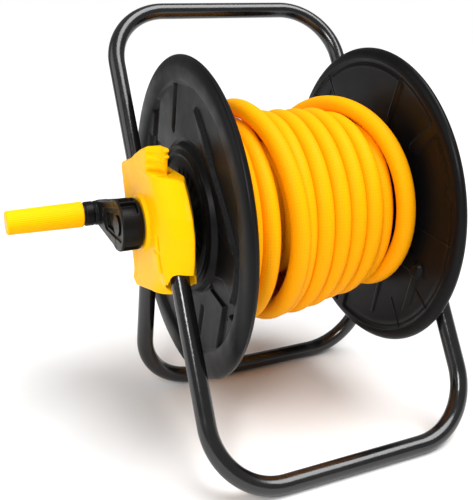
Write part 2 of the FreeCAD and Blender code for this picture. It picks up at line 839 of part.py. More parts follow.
crank_solids = [
    arm_body,
    rod("crank_hub", "sizes.crank_hub_radius", -CRANK_FACE, crank_hub_end),
    rod("crank_end", "sizes.crank_end_radius", -CRANK_FACE, -ARM_BACK, reach, drop),
    rod("crank_neck", "sizes.neck_radius", -NECK_END, -CRANK_FACE, reach, drop),
]
PIN_BACK = ARM_BACK + size("grip_pin_wall")
shaft_room = "sizes.journal_radius + sizes.crank_shaft_room"
crank_cuts = [
    pocket_body,
    shaft_square,
    rod("crank_cap_seat", "sizes.crank_cap_radius", -CRANK_FACE, -SCREW_SEAT),
    rod("crank_screw_hole", "sizes.crank_screw_radius", -SCREW_SEAT, crank_hub_end),
    rod("crank_pin_hole", "sizes.grip_pin_radius", -NECK_END, -PIN_BACK, reach, drop),
    rod("crank_shaft_room", shaft_room, crank_hub_end - CLEAR, crank_hub_end),
]
crank_whole = fused("crank_whole", crank_solids)
keep(cut("crank_arm", crank_whole, fused("crank_cuts", crank_cuts)), "crank_arm")
head_end = -SCREW_SEAT - size("crank_screw_head_depth")
screw_head = rod("crank_screw_head", "sizes.crank_screw_head_radius", head_end, -SCREW_SEAT)
screw_shank = rod("crank_screw_shank", "sizes.crank_screw_radius", -SCREW_SEAT, -screw_depth)
keep(fused("crank_screw", [screw_head, screw_shank]), "crank_screw")
cap_start = -CRANK_FACE + size("crank_cap_depth")
keep(rod("crank_cap", "sizes.crank_cap_radius", -CRANK_FACE, cap_start), "crank_cap")

# ---------------------------------------------------------------- the turning grip
RECESS_END = GRIP_TIP - size("grip_recess")
PIN_HEAD = RECESS_END + size("grip_pin_head_gap")
pin_head_end = PIN_HEAD + size("grip_pin_head_depth")
pin_shank = rod("pin_shank", "sizes.grip_pin_radius", -PIN_HEAD, -PIN_BACK, reach, drop)
pin_head = rod("pin_head", "sizes.grip_pin_head_radius", -pin_head_end, -PIN_HEAD, reach, drop)
keep(fused("grip_pin", [pin_shank, pin_head]), "grip_pin")
washer_end = NECK_END + size("washer_depth")
washer_radius = "sizes.neck_radius - sizes.washer_inset"
washer_disc = rod("washer_disc", washer_radius, -washer_end, -NECK_END, reach, drop)
washer_hole = rod("washer_hole", "sizes.grip_pin_radius", -washer_end, -NECK_END, reach, drop)
keep(cut("grip_washer", washer_disc, washer_hole), "grip_washer")
grip_skin = taper(
    "grip_skin", "sizes.grip_tip_radius", "sizes.grip_root_radius", -GRIP_TIP, -GRIP_ROOT, reach, drop
)
grip_bore_radius = "sizes.grip_pin_radius + sizes.running_gap"
grip_bore = rod("grip_bore", grip_bore_radius, -GRIP_TIP, -GRIP_ROOT, reach, drop)
grip_end = rod("grip_end", "sizes.grip_recess_radius", -GRIP_TIP, -RECESS_END, reach, drop)
keep(cut("crank_grip", grip_skin, fused("grip_holes", [grip_bore, grip_end])), "crank_grip")
grip_cap_end = GRIP_TIP - size("grip_cap_depth")
grip_cap = rod("grip_cap", "sizes.grip_recess_radius", -GRIP_TIP, -grip_cap_end, reach, drop)
keep(grip_cap, "grip_cap")

# ---------------------------------------------------------------- the hose
HALF_COIL = size("coil_half_width")
DROP = size("coil_drop")
coil_outer = rod("coil_outer", "sizes.coil_radius", -HALF_COIL, HALF_COIL, 0, -DROP)
coil_inner = rod("coil_inner", "sizes.barrel_radius + sizes.running_gap", -HALF_COIL, HALF_COIL)
keep(cut("hose_coil", coil_outer, coil_inner), "hose_coil")

# The free end of the hose: it leaves the coil's outer turn at the rear and hangs beside it.
TAIL_ROUTE = [V(0, 73, 34), V(0, 90, -8), V(0, 97, -52)]
TAIL_SHARE = 0.45


def rounded_route(points):
    """Straight runs joined by tangent arcs, each as large as its two runs allow."""
    edges = []
    radii = []
    here = points[0]
    for before, corner, after in zip(points, points[1:], points[2:]):
        back, ahead = (before - corner).normalize(), (after - corner).normalize()
        setback = TAIL_SHARE * min((before - corner).Length, (after - corner).Length)
        half_turn = (math.pi - back.getAngle(ahead)) / 2
        radius = setback / math.tan(half_turn)
        first, second = corner + back * setback, corner + ahead * setback
        to_middle = (back + ahead).normalize()
        centre = corner + to_middle * (radius / math.cos(half_turn))
        edges.append(Part.LineSegment(here, first).toShape())
        edges.append(Part.Arc(first, centre - to_middle * radius, second).toShape())
        here = second
        radii.append(round(radius, 1))
    edges.append(Part.LineSegment(here, points[-1]).toShape())
    print("bend radii of the hose's free end, mm:", radii)
    return Part.Wire(edges)


tail_path = doc.addObject("Part::Feature", "tail_path")
tail_path.Shape = rounded_route(TAIL_ROUTE)
tail_turn = FreeCAD.Rotation(UP, TAIL_ROUTE[1] - TAIL_ROUTE[0])
tail = swept("hose_tail", tail_path, "sizes.hose_radius", TAIL_ROUTE[0], tail_turn)
tail.Placement.Base = V(MIDDLE + size("tail_station"), 0, AXLE)
keep(tail, "hose_tail")

CONNECTOR_WAY = (TAIL_ROUTE[-1] - TAIL_ROUTE[-2]).normalize()
CONNECTOR_TURN = FreeCAD.Rotation(UP, CONNECTOR_WAY)
CONNECTOR_ROOT = TAIL_ROUTE[-1] + V(MIDDLE + size("tail_station"), 0, AXLE)


def on_connector(name, radius, start, length):
    """A cylinder on the connector's axis, from a distance past the hose's end."""
    piece = doc.addObject("Part::Cylinder", name)
    piece.setExpression("Radius", radius)
    piece.setExpression("Height", length)
    piece.Placement = FreeCAD.Placement(CONNECTOR_ROOT + CONNECTOR_WAY * start, CONNECTOR_TURN)
    return piece


lip_start = size("connector_length") - size("connector_lip")
mouth_start = size("connector_length") - size("connector_bore_depth")
connector_whole = fused("connector_whole", [
    on_connector("connector_core", "sizes.connector_radius", 0, "sizes.connector_length"),
    on_connector("connector_nut", "sizes.nut_radius", 0, "sizes.nut_length"),
    on_connector("connector_lip", "sizes.connector_lip_radius", lip_start, "sizes.connector_lip"),
])
mouth = on_connector("connector_mouth", "sizes.connector_bore", mouth_start, "sizes.connector_bore_depth")
keep(cut("hose_end_connector", connector_whole, mouth), "hose_end_connector")
collar_start = size("collar_start")
collar_skin = on_connector("collar_skin", "sizes.collar_radius", collar_start, "sizes.collar_length")
collar_hole = on_connector(
    "collar_hole", "sizes.connector_radius + sizes.collar_gap", collar_start, "sizes.collar_length"
)
keep(cut("connector_collar", collar_skin, collar_hole), "connector_collar")


# ---------------------------------------------------------------- check and write
def check_and_write():
    """Stops at a failed object or a bad solid, and otherwise writes a file for each sub-part."""
    doc.recompute()
    for item in doc.Objects:
        if "Invalid" in item.State or "Error" in item.State:
            raise RuntimeError(f"{item.Name} failed: {item.State}")
    for piece in sub_parts:
        if piece.Shape.isNull() or not piece.Shape.isValid() or not piece.Shape.Solids:
            raise RuntimeError(f"{piece.Label} has no valid solid")
    area = math.pi * size("hose_radius") ** 2
    share = tail.Shape.Volume / (area * tail_path.Shape.Length)
    print("free end's volume over section times length:", round(share, 4))
    os.makedirs("parts", exist_ok=True)
    for piece in sub_parts:
        piece.Shape.exportStep(f"parts/{piece.Label}.step")
    print(len(sub_parts), "sub-parts written")


check_and_write()
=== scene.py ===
import json
import math

import bpy
import numpy as np
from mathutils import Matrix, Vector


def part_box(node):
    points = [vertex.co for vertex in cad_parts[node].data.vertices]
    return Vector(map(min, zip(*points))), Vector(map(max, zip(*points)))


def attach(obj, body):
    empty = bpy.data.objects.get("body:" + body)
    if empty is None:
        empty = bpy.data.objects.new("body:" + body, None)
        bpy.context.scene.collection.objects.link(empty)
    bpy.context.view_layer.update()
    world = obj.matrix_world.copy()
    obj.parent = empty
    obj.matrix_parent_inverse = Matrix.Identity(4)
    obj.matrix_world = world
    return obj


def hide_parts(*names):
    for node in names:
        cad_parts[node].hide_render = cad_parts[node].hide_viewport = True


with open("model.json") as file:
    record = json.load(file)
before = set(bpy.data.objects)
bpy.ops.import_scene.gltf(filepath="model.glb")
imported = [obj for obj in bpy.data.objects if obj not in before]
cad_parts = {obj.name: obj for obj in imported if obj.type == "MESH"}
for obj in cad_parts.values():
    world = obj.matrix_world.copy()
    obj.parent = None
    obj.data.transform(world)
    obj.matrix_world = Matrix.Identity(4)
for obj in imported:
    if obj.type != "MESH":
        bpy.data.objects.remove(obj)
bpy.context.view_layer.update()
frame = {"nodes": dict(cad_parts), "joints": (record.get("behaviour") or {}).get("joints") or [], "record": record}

import openvdb
from mathutils import Vector

MM = 0.001
NODES = frame["nodes"]
JOINTS = {joint["name"]: joint for joint in frame["joints"]}
AXLE = Vector(JOINTS["drum_spin"]["pos_m"])
TURN = 2 * math.pi


def at(x, y, z):
    """A point in metres from its place in millimetres from the drum's middle."""
    return Vector((AXLE.x + x * MM, AXLE.y + y * MM, AXLE.z + z * MM))


def cad_corners(node):
    """A CAD node's lowest and highest corners, in millimetres from the drum's middle."""
    return [[round((c - a) / MM, 3) for c, a in zip(corner, AXLE)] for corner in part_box(node)]


def add(name, data):
    piece = bpy.data.objects.new(name, data)
    bpy.context.scene.collection.objects.link(piece)
    return piece


# ---------------------------------------------------------------- camera
camera_data = bpy.data.cameras.new("camera")
camera_data.lens = 54.36
camera_data.shift_y = -0.1404
camera = add("camera", camera_data)
camera.location = (-0.28548, -0.61399, 0.39530)
camera.rotation_euler = (math.radians(90 - 13.93), 0, math.radians(-24.20))
bpy.context.scene.camera = camera


# ---------------------------------------------------------------- materials
class Finish:
    """A procedural material: a Principled shader with patterns worked out from the piece's own space."""

    def __init__(self, name, colour, roughness, **constants):
        self.material = bpy.data.materials.new(name)
        self.material.use_nodes = True
        self.tree = self.material.node_tree
        self.shader = self.tree.nodes["Principled BSDF"]
        self.shader.inputs["Base Color"].default_value = (*colour, 1)
        self.shader.inputs["Roughness"].default_value = roughness
        for socket, amount in constants.items():
            self.shader.inputs[socket.replace("_", " ")].default_value = amount
        self.colour = colour
        self.place = self.tree.nodes.new("ShaderNodeTexCoord")
        self.heights = []

    def node(self, kind, **inputs):
        made = self.tree.nodes.new("ShaderNode" + kind)
        for socket, amount in inputs.items():
            made.inputs[socket.replace("_", " ")].default_value = amount
        return made

    def join(self, source, target):
        self.tree.links.new(source, target)

    def noise(self, scale, detail=3.0, stretch=None, space="Object"):
        source = self.place.outputs[space]
        if stretch:
            mapping = self.node("Mapping")
            mapping.inputs["Scale"].default_value = stretch
            self.join(source, mapping.inputs["Vector"])
            source = mapping.outputs["Vector"]
        made = self.node("TexNoise", Scale=scale, Detail=detail)
        self.join(source, made.inputs["Vector"])
        return made.outputs["Fac"]

    def scaled(self, source, low, high, start=0.3, end=0.7):
        made = self.node("MapRange", From_Min=start, From_Max=end, To_Min=low, To_Max=high)
        self.join(source, made.inputs["Value"])
        return made.outputs["Result"]

    def vary_colour(self, source, dark, light, start=0.3, end=0.7):
        """Shifts the colour between a darker and a lighter tint of it."""
        ramp = self.node("ValToRGB")
        ramp.color_ramp.elements[0].position = start
        ramp.color_ramp.elements[1].position = end
        ramp.color_ramp.elements[0].color = (*[c * dark for c in self.colour], 1)
        ramp.color_ramp.elements[1].color = (*[min(1, c * light) for c in self.colour], 1)
        self.join(source, ramp.inputs["Fac"])
        self.join(ramp.outputs["Color"], self.shader.inputs["Base Color"])
        return self

    def vary_roughness(self, source, low, high, start=0.3, end=0.7):
        self.join(self.scaled(source, low, high, start, end), self.shader.inputs["Roughness"])
        return self

    def bump(self, source, height, strength=1.0):
        """Adds a relief of this height, in metres, over what is there."""
        made = self.node("Bump", Strength=strength, Distance=height)
        self.join(source, made.inputs["Height"])
        if self.heights:
            self.join(self.heights[-1].outputs["Normal"], made.inputs["Normal"])
        self.join(made.outputs["Normal"], self.shader.inputs["Normal"])
        self.heights.append(made)
        return self

    def maths(self, operation, first, second=None):
        made = self.node("Math")
        made.operation = operation
        for socket, source in zip(made.inputs, (first, second)):
            if source is None:
                continue
            if isinstance(source, (int, float)):
                socket.default_value = source
            else:
                self.join(source, socket)
        return made.outputs[0]


def moulded(name, colour, roughness, grain=0.00004, dark=0.9, light=1.06, **constants):
    """Moulded plastic: fine grain, slow flow marks and faintly scuffed gloss."""
    finish = Finish(name, colour, roughness, **constants)
    finish.vary_colour(finish.noise(14, 4), dark, light)
    finish.vary_roughness(finish.noise(60, 5), roughness - 0.05, roughness + 0.07)
    finish.bump(finish.noise(900, 2), grain)
    finish.bump(finish.noise(35, 2), 0.0004, 0.12)
    return finish.material


def powder_coat():
    """Semi-gloss black coating over steel tube, with orange peel and light rubs."""
    finish = Finish("tube_coating", (0.005, 0.005, 0.0055), 0.18, Specular_IOR_Level=0.6)
    finish.vary_colour(finish.noise(22, 4), 0.75, 1.5)
    finish.vary_roughness(finish.noise(90, 5), 0.14, 0.23)
    finish.bump(finish.noise(500, 2), 0.00005)
    return finish.material


KNITS_PER_METRE, KNITS_AROUND = 190, 12


def hose_skin():
    """Clear-skinned yellow hose over a knitted braid that shows as faint diamonds."""
    finish = Finish("hose_skin", (1.0, 0.375, 0.001), 0.5, Specular_IOR_Level=0.05)
    split = finish.node("SeparateXYZ")
    finish.join(finish.place.outputs["UV"], split.inputs["Vector"])
    along, around = split.outputs["X"], split.outputs["Y"]
    strands = []
    for way in (1, -1):
        lengthwise = finish.maths("MULTIPLY", along, TURN * KNITS_PER_METRE)
        crosswise = finish.maths("MULTIPLY", around, way * TURN * KNITS_AROUND)
        strands.append(finish.maths("SINE", finish.maths("ADD", lengthwise, crosswise)))
    knit = finish.maths("MULTIPLY", strands[0], strands[1])
    knit = finish.maths("ADD", finish.maths("MULTIPLY", knit, 0.5), 0.5)
    patches = finish.noise(9, 3)
    blend = finish.maths("ADD", finish.maths("MULTIPLY", knit, 0.34), finish.maths("MULTIPLY", patches, 0.66))
    finish.vary_colour(blend, 0.9, 1.09, 0.25, 0.75)
    finish.vary_roughness(finish.noise(120, 4), 0.44, 0.56)
    finish.bump(knit, 0.00022, 0.5)
    finish.bump(finish.noise(700, 2), 0.00004)
    return finish.material


def plated_steel():
    finish = Finish("plated_steel", (0.55, 0.55, 0.56), 0.3, Metallic=1.0)
    finish.vary_colour(finish.noise(80, 4), 0.8, 1.1)
    finish.vary_roughness(finish.noise(400, 4, (1, 12, 12)), 0.22, 0.42)
    finish.bump(finish.noise(1200, 2, (1, 10, 10)), 0.00003)
    return finish.material


MATERIALS = {
    "black_tube": powder_coat(),
    "yellow_plastic": moulded(
        "yellow_moulding", (1.0, 0.48, 0.001), 0.3, 0.00002, 0.985, 1.015, Specular_IOR_Level=0.035
    ),
    "black_plastic": moulded(
        "black_moulding", (0.0032, 0.0032, 0.0035), 0.36, 0.00005, 0.82, 1.2, Specular_IOR_Level=0.12
    ),
    "grey_plastic": moulded("grey_moulding", (0.12, 0.12, 0.125), 0.45, 0.00005),
    "yellow_hose": hose_skin(),
    "screw_steel": plated_steel(),
    "seal_rubber": moulded("seal_rubber", (0.018, 0.018, 0.018), 0.6, 0.00003),
}


def dress(piece, slot, body):
    """Gives a new piece its finish and the CAD body that it moves with."""
    piece.data.materials.clear()
    piece.data.materials.append(MATERIALS[slot])
    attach(piece, body)
    return piece


SLOT_OF = {row["node"]: row["material_slot"] for row in frame["record"]["subparts"]}
for node, cad_piece in NODES.items():
    cad_piece.data.materials.clear()
    cad_piece.data.materials.append(MATERIALS[SLOT_OF[node]])


# ---------------------------------------------------------------- the hose
HOSE_RADIUS = 8.5
PER_TURN = 16
PITCH = 17.62
SIDE = 79.3
INNER_RADIUS = 54.0
OUTER_RADIUS = 82.5
OUTER_PITCH = 17.0
START_ANGLE = math.radians(80)
INNER_TURNS, OUTER_START, OUTER_END = 9.05, 10.1, 19.98
# The first points, from the barb on to the barrel, and the last ones, down to the connector.
FROM_BARB = ((74, 17, 40), (74, 30, 41.5), (75.5, 46, 31))
TO_CONNECTOR = ((34, 87, 22), (34, 90, -8), (34, 97, -52))
# How far the outer layer hangs below the barrel, by turns wound on it.
SAG = ((0, 11.5), (4.1, 11.5), (5.7, 7.0), (6.6, 2.0), (9, 1.0))
# The third turn lies loose over its neighbours: turns wound, station, distance out.
LOOSE_TURN = (
    (1.93, -46.5, 82.5), (2.05, -42, 88), (2.18, -36, 94), (2.30, -32, 95), (2.43, -31, 94),
    (2.55, -37, 95.5), (2.68, -47, 95.5), (2.78, -44, 94), (2.88, -35, 89), (3.0, -28.3, 83.5),
)
# The last turn but one is pulled in, and the last one lies over it and goes round to the back.
LAST_TURNS = (
    (8.0, 56.7, 82.5), (8.18, 59.8, 80), (8.43, 64, 74), (8.68, 68.3, 73), (9.0, 73.7, 74), (9.18, 77, 76),
    (9.43, 79.3, 88), (9.55, 75.5, 90), (9.68, 61, 90.5), (9.75, 52.5, 94.5), (9.82, 42, 98.5), (9.88, 36, 98),
)
# Where turns are pressed in by one that crosses them: turns wound, how far, and over how much of a turn.
TUCKS = ((1.68, 3.5, 0.2), (5.93, 3.5, 0.14), (6.93, 9.0, 0.14), (7.72, 5.5, 0.12))


def steps(table, amount):
    """The values beside an amount in a table, eased between its rows."""
    columns = list(zip(*table))
    return [float(np.interp(amount, columns[0], column)) for column in columns[1:]]


def around_axle(station, radius, angle):
    """A control point of a turn, far enough out for the curve itself to have this radius."""
    reach = radius / math.cos(math.pi / PER_TURN)
    return station, reach * math.sin(angle), reach * math.cos(angle)


def outer_layer(wound):
    """Station and distance out on the outer layer, by turns wound on it."""
    for table in (LOOSE_TURN, LAST_TURNS):
        if table[0][0] <= wound <= table[-1][0]:
            return steps(table, wound)
    angle = START_ANGLE + TURN * (OUTER_START + wound)
    low = (0.5 - 0.5 * math.cos(angle)) ** 1.4
    radius = OUTER_RADIUS + steps(SAG, wound)[0] * low
    for middle, depth, width in TUCKS:
        radius -= depth * math.exp(-(((wound - middle) / width) ** 2))
    return -SIDE + OUTER_PITCH * wound, radius


def hose_route():
    """The hose's middle line from its barb to its connector, in millimetres from the drum's middle."""
    route = list(FROM_BARB)
    turns = 0.0
    while turns < OUTER_END:
        if turns < INNER_TURNS:
            station, radius = SIDE - PITCH * min(max(turns - 0.05, 0), 9), INNER_RADIUS
        elif turns < OUTER_START:
            share = (turns - INNER_TURNS) / (OUTER_START - INNER_TURNS)
            station, radius = -SIDE, INNER_RADIUS + (outer_layer(0)[1] - INNER_RADIUS) * share
        else:
            station, radius = outer_layer(turns - OUTER_START)
        route.append(around_axle(station, radius, START_ANGLE + TURN * turns))
        turns += 1 / PER_TURN
    return route + list(TO_CONNECTOR)


def nurbs_line(name, points, resolution):
    """A smooth open curve with these control points, and the points that it passes, in metres."""
    curve = bpy.data.curves.new(name, "CURVE")
    curve.dimensions = "3D"
    curve.resolution_u = resolution
    spline = curve.splines.new("NURBS")
    spline.points.add(len(points) - 1)
    for spot, point in zip(spline.points, points):
        spot.co = (*at(*point), 1)
    spline.order_u = 3
    spline.use_endpoint_u = True
    carrier = add(name, curve)
    bpy.context.view_layer.update()
    sampled = bpy.data.meshes.new_from_object(carrier)
    line = np.array([vertex.co for vertex in sampled.vertices], float)
    bpy.data.objects.remove(carrier)
    return line


def rings_along(line):
    """Two directions square to a line at each of its points, turned as little as can be."""
    ways = np.gradient(line, axis=0)
    ways /= np.linalg.norm(ways, axis=1)[:, None]
    side = np.cross(ways[0], (0.0, 0.0, 1.0))
    side /= np.linalg.norm(side)
    sides = []
    for way in ways:
        side = side - way * np.dot(side, way)
        side /= np.linalg.norm(side)
        sides.append(side)
    sides = np.array(sides)
    return sides, np.cross(ways, sides)


def tube_mesh(name, line, radius, sides=24):
    """A round tube along a line, with its length and its way round in a UV map."""
    first, second = rings_along(line)
    angles = np.arange(sides) * TURN / sides
    rings = (
        line[:, None, :]
        + radius * np.cos(angles)[None, :, None] * first[:, None, :]
        + radius * np.sin(angles)[None, :, None] * second[:, None, :]
    )
    count = len(line)
    index = np.arange(count * sides).reshape(count, sides)
    a, b = index[:-1], np.roll(index[:-1], -1, axis=1)
    c, d = np.roll(index[1:], -1, axis=1), index[1:]
    quads = np.stack([a, b, c, d], axis=-1).reshape(-1, 4)
    faces = quads.tolist() + [index[0][::-1].tolist(), index[-1].tolist()]
    mesh = bpy.data.meshes.new(name)
    mesh.from_pydata(rings.reshape(-1, 3).tolist(), [], faces)
    travelled = np.concatenate([[0], np.cumsum(np.linalg.norm(np.diff(line, axis=0), axis=1))])
    layer = mesh.uv_layers.new(name="along")
    spots = np.zeros((len(mesh.loops), 2))
    turn_at = np.arange(sides + 1) / sides
    row = np.repeat(np.arange(count - 1), sides)
    column = np.tile(np.arange(sides), count - 1)
    corners = np.stack([
        np.stack([travelled[row], turn_at[column]], -1),
        np.stack([travelled[row], turn_at[column + 1]], -1),
        np.stack([travelled[row + 1], turn_at[column + 1]], -1),
        np.stack([travelled[row + 1], turn_at[column]], -1),
    ], axis=1).reshape(-1, 2)
    spots[:len(corners)] = corners
    layer.data.foreach_set("uv", spots.ravel())
    mesh.polygons.foreach_set("use_smooth", [True] * len(quads) + [False] * 2)
    return mesh


hose_line = nurbs_line("hose_line", hose_route(), 5)
hose = dress(add("hose", tube_mesh("hose", hose_line, HOSE_RADIUS * MM)), "yellow_hose", "drum")
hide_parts("hose_coil", "hose_tail")


# ---------------------------------------------------------------- shapes worked out as distance fields
def lowest(first, second, blend):
    """The union of two fields, with a fillet where they meet."""
    share = np.clip(0.5 + 0.5 * (second - first) / blend, 0, 1)
    return second * (1 - share) + first * share - blend * share * (1 - share)


def highest(first, second, blend):
    """What two fields have in common, with a rounded edge where they meet."""
    return -lowest(-first, -second, blend)


def minus(whole, tool, blend):
    return highest(whole, -tool, blend)


def outline_distance(u, v, corners):
    """The signed distance from a closed outline of straight sides."""
    corners = [np.array(corner, float) for corner in corners]
    best = np.full(u.shape, 1e9)
    inside = np.zeros(u.shape, bool)
    for start, end in zip(corners, corners[1:] + corners[:1]):
        run = end - start
        du, dv = u - start[0], v - start[1]
        share = np.clip((du * run[0] + dv * run[1]) / run.dot(run), 0, 1)
        best = np.minimum(best, (du - share * run[0]) ** 2 + (dv - share * run[1]) ** 2)
        crossing = (start[1] > v) != (end[1] > v)
        where = start[0] + (v - start[1]) * run[0] / (run[1] if run[1] else 1e-9)
        inside ^= crossing & (u < where)
    return np.where(inside, -1, 1) * np.sqrt(best)


def box_distance(spot, middle, half, edge):
    """The signed distance from a box with rounded edges."""
    outside = [np.abs(p - m) - (h - edge) for p, m, h in zip(spot, middle, half)]
    beyond = np.sqrt(sum(np.maximum(q, 0) ** 2 for q in outside))
    return beyond + np.minimum(np.maximum.reduce(outside), 0) - edge


def block(low, high, step):
    """The sample points of a box, in millimetres."""
    axes = [np.arange(a, b + step, step, dtype=np.float32) for a, b in zip(low, high)]
    return np.meshgrid(*axes, indexing="ij")


def skin(name, field, low, step, mirror=1):
    """The surface where a field is zero, as a smooth mesh. mirror is -1 for the crank's side."""
    reach = 3 * step
    grid = openvdb.FloatGrid(reach)
    grid.copyFromArray(np.clip(field, -reach, reach).astype(np.float32))
    points, quads = grid.convertToQuads(0.0)
    points = np.array(points, float) * step + np.array(low, float)
    points[:, 0] *= mirror
    points = points * MM + np.array(AXLE)
    quads = quads[:, ::-1] if mirror < 0 else quads
    mesh = bpy.data.meshes.new(name)
    mesh.from_pydata(points.tolist(), [], quads.tolist())
    mesh.polygons.foreach_set("use_smooth", [True] * len(mesh.polygons))
    mesh.update()
    return mesh


# ---------------------------------------------------------------- the side brackets
# The plane in which a bracket's two shells meet, and the depth of each shell.
PLANE = cad_corners("right_bracket_inner")[1][0]
HALF_DEPTH = PLANE - cad_corners("right_bracket_inner")[0][0]
BRACKET_OUTLINE = (
    (66, 36), (58, 8), (45, -22), (30, -44), (28, -52), (32, -62), (24, -68), (-20, -57), (-40, -53.5),
    (-58, -49), (-66, -44), (-74, -33), (-78.3, -15), (-79, 4), (-74.5, 20), (-65.5, 35), (-54, 49),
    (-31, 48), (-35, 72), (-16, 71), (0, 66), (18, 58.5), (31, 52), (44, 48), (60, 42),
)
# The bracket's front edge, as heights and how far forward it is there.
FRONT_EDGE = (
    (-49, -41, -33, -15, 4, 20, 35, 49),
    (-58, -68, -74, -78.3, -79, -74.5, -65.5, -54),
)
ROLL_RADIUS, ROLL_REACH = 40.6, 35.0
TUBE_FIT = 8.35
# The sleeves round the tubes: distance out from each tube's middle line.
HANDLE_SLEEVE, FRONT_SLEEVE, REAR_SLEEVE = 13.2, 12.4, 12.2
BOSS_RADIUS, BOSS_TOP, BUSH_BORE = 25.0, 16.8, 18.2
SHELF, HOLDER_FLOOR, HOLDER_STEP = 47.0, 49.4, 8.0
HOLDER_MIDDLE, HOLDER_RADIUS = (-30.0, 16.8), 13.2
TOOTH_HEIGHTS = (70.3, 65.0)
# Two ribs on the face: place across and up, half width and half height.
FACE_RIBS = ((-42.0, -5.5, 4.2, 6.2), (-44.5, -21.5, 5.4, 7.8))
ARCH_RADIUS, ARCH_TOP = 9.3, -27.0
# The screws that join a bracket's shells: place across and up, and how deep the head is sunk.
SCREW_SPOTS = ((58, 14, 2.6), (12, -48, 2.6), (-66, 4, 6.4), (-40, 38, 3.0))
LEG_LINES = {"handle": (36.4, 0.5946), "front": (-38.7, 0.5408), "rear": (17.2, -0.2251)}


def leg_distance(word, y, z, x):
    """Distance from the middle line of one leg, by its place at axle height and its slope."""
    start, slope = LEG_LINES[word]
    across = (y - start - slope * z) / math.hypot(1, slope)
    return np.sqrt(across ** 2 + (x - PLANE) ** 2)


def bracket_field(x, y, z):
    """A side bracket: a rolled plate with a boss, a nozzle holder, ribs and a tunnel for each leg."""
    d = x - PLANE
    plan = outline_distance(y, z, BRACKET_OUTLINE)
    front_edge = np.interp(z, *FRONT_EDGE)
    roll = np.clip(ROLL_REACH - (y - front_edge), 0, ROLL_RADIUS - 1.5)
    front = HALF_DEPTH - (ROLL_RADIUS - np.sqrt(ROLL_RADIUS ** 2 - roll ** 2))
    back = np.maximum(y - 44, 0) ** 2 / 90
    whole = highest(plan, d - (front - back), 3)
    whole = highest(whole, -HALF_DEPTH - d, 1.5)
    under = np.where(y < -20, (front_edge - 2.6 * (6 + d) - y) / 2.8, -9)
    whole = highest(whole, under, 1.2)
    sleeve = highest(leg_distance("handle", y, z, x) - HANDLE_SLEEVE, np.abs(z - 21) - 21, 6)
    whole = lowest(whole, sleeve, 6)
    tunnel = highest(leg_distance("front", y, z, x) - FRONT_SLEEVE, -(z + 42), 2)
    tunnel = highest(tunnel, z - 4, 6)
    whole = lowest(whole, tunnel, 8)
    heel = highest(leg_distance("rear", y, z, x) - REAR_SLEEVE, -(z + 66), 4)
    heel = highest(heel, z + 30, 6)
    whole = lowest(whole, heel, 5)
    radius = np.sqrt(y ** 2 + z ** 2)
    boss = highest(radius - BOSS_RADIUS, d - BOSS_TOP, 1.0)
    boss = highest(boss, -d, 1)
    whole = lowest(whole, boss, 2.5)
    # the nozzle holder: behind its open front only a wall stands above the shelf
    behind = highest(highest(SHELF - z, d + 0.4, 0.5), y - 18, 5)
    whole = minus(whole, behind, 1.2)
    steps_up = 0.6 * np.tanh(5 * np.sin((z - 46.5) * TURN / HOLDER_STEP)) * (z < 66)
    wide = HOLDER_RADIUS + 0.35 * np.maximum(54 - z, 0) + steps_up
    holder = np.sqrt((y - HOLDER_MIDDLE[0]) ** 2 + (d - HOLDER_MIDDLE[1]) ** 2) - wide
    holder = highest(holder, HOLDER_FLOOR - z, 1.2)
    whole = minus(whole, holder, 1.4)
    for height in TOOTH_HEIGHTS:
        tooth = box_distance((d, y, z), (1.8, -34.6, height), (1.9, 3.6, 1.4), 0.8)
        whole = lowest(whole, tooth, 0.8)
    # the shelf's raised lip
    lip_line = np.sqrt((z - 47.2) ** 2 + (d - front + 1.4) ** 2) - 1.3
    lip = highest(lip_line, np.abs(y + 28) - 24, 1.0)
    whole = lowest(whole, lip, 1.6)
    # the ribs on the face, each with a groove in front of it
    for y_mid, z_mid, half_wide, tall in FACE_RIBS:
        lean = y - y_mid - 0.3 * (z - z_mid)
        rib = box_distance((d, lean, z), (13.2, 0, z_mid), (3.0, half_wide, tall), 1.0)
        whole = lowest(whole, rib, 1.0)
        groove = box_distance((d, lean + half_wide + 1.2, z), (15.0, 0, z_mid), (3.0, 1.0, tall), 0.6)
        whole = minus(whole, groove, 0.6)
    # what passes through
    for word in LEG_LINES:
        whole = minus(whole, leg_distance(word, y, z, x) - TUBE_FIT, 0.8)
    # the front leg comes out through an arch that is open towards the front
    start, slope = LEG_LINES["front"]
    across = (y - start - slope * z) / math.hypot(1, slope)
    arch = np.sqrt(np.maximum(across, 0) ** 2 + d ** 2)
    arch = arch - (ARCH_RADIUS + 0.26 * np.maximum(-28 - z, 0))
    whole = minus(whole, highest(arch, z - ARCH_TOP, 6), 1.0)
    # a seat for each shell screw's head
    for y_spot, z_spot, sunk in SCREW_SPOTS:
        seat = highest(np.hypot(y - y_spot, z - z_spot) - 4.3, d + 13.6 - sunk, 0.4)
        whole = minus(whole, seat, 0.4)
    return minus(whole, radius - BUSH_BORE, 0.8)


BRACKET_LOW = (108.0, -92.0, -82.0)
BRACKET_HIGH = (150.0, 84.0, 82.0)
BRACKET_STEP = 0.8
bracket_shape = bracket_field(*block(BRACKET_LOW, BRACKET_HIGH, BRACKET_STEP))
for word, mirror in (("left", -1), ("right", 1)):
    mesh = skin(word + "_bracket", bracket_shape, BRACKET_LOW, BRACKET_STEP, mirror)
    bracket = dress(add(word + "_bracket", mesh), "yellow_plastic", "stand")
    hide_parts(word + "_bracket_outer", word + "_bracket_inner")


